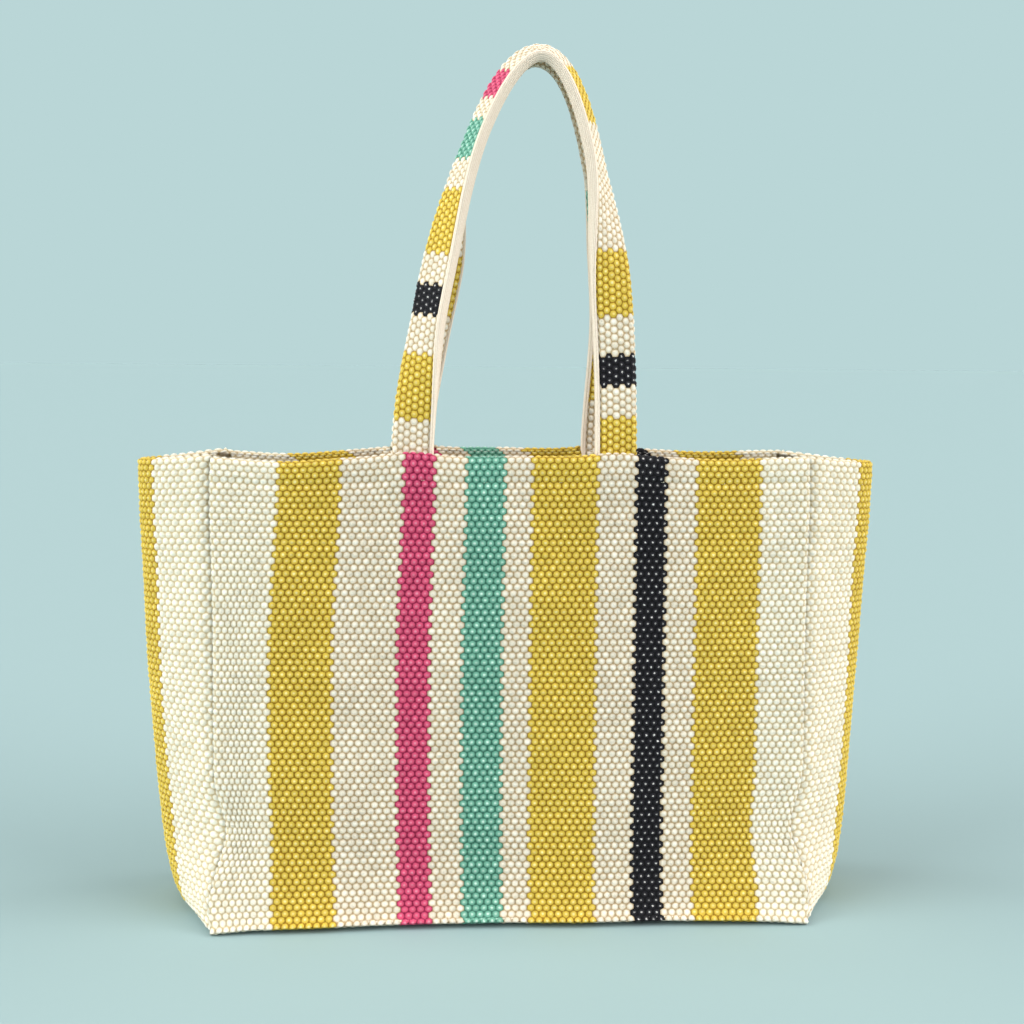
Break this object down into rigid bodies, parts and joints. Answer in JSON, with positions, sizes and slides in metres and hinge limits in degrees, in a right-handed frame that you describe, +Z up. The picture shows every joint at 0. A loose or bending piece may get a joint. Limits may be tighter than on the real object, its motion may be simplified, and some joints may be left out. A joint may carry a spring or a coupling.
{
  "type": "woven tote bag",
  "caption": "Wide open-topped tote bag of thick striped handwoven cloth, with creased side panels, a flat base, a turned hem and swinging strap handles.",
  "frame": {"origin": "on the floor under the middle of the bag's base", "axes": "+Z up, +X to the right as seen from the front, the front panel faces -Y"},
  "size_m": [0.6088, 0.1534, 0.7096],
  "materials": {
    "woven_cloth": "coarse matte weave",
    "side_cloth": "coarse matte weave",
    "handle_cloth": "coarse matte weave",
    "handle_webbing": "fine ribbed cotton webbing",
    "binding_tape": "matte cotton tape",
    "thread": "matte cotton thread"
  },
  "bodies": {
    "bag": {"front_panel": "woven_cloth", "back_panel": "woven_cloth", "left_side_panel": "side_cloth", "right_side_panel": "side_cloth", "base_panel": "woven_cloth", "front_hem": "woven_cloth", "back_hem": "woven_cloth", "left_side_hem": "side_cloth", "right_side_hem": "side_cloth", "hem_stitching": "thread", "front_left_seam_binding": "binding_tape", "front_right_seam_binding": "binding_tape", "back_left_seam_binding": "binding_tape", "back_right_seam_binding": "binding_tape", "base_seam_binding": "binding_tape", "front_handle_left_end": "handle_cloth", "front_handle_right_end": "handle_cloth", "back_handle_left_end": "handle_cloth", "back_handle_right_end": "handle_cloth", "handle_end_stitching": "thread"},
    "front_handle": {"front_handle_cover": "handle_cloth", "front_handle_core": "handle_webbing"},
    "back_handle": {"back_handle_cover": "handle_cloth", "back_handle_core": "handle_webbing"}
  },
  "joints": [
    {"name": "front_handle_swing", "type": "hinge", "parent": "bag", "child": "front_handle", "pos_m": [0, -0.061, 0.384], "axis": [1, 0, 0], "range_deg": [0, 175]},
    {"name": "back_handle_swing", "type": "hinge", "parent": "bag", "child": "back_handle", "pos_m": [0, 0.061, 0.384], "axis": [-1, 0, 0], "range_deg": [0, 175]}
  ]
}
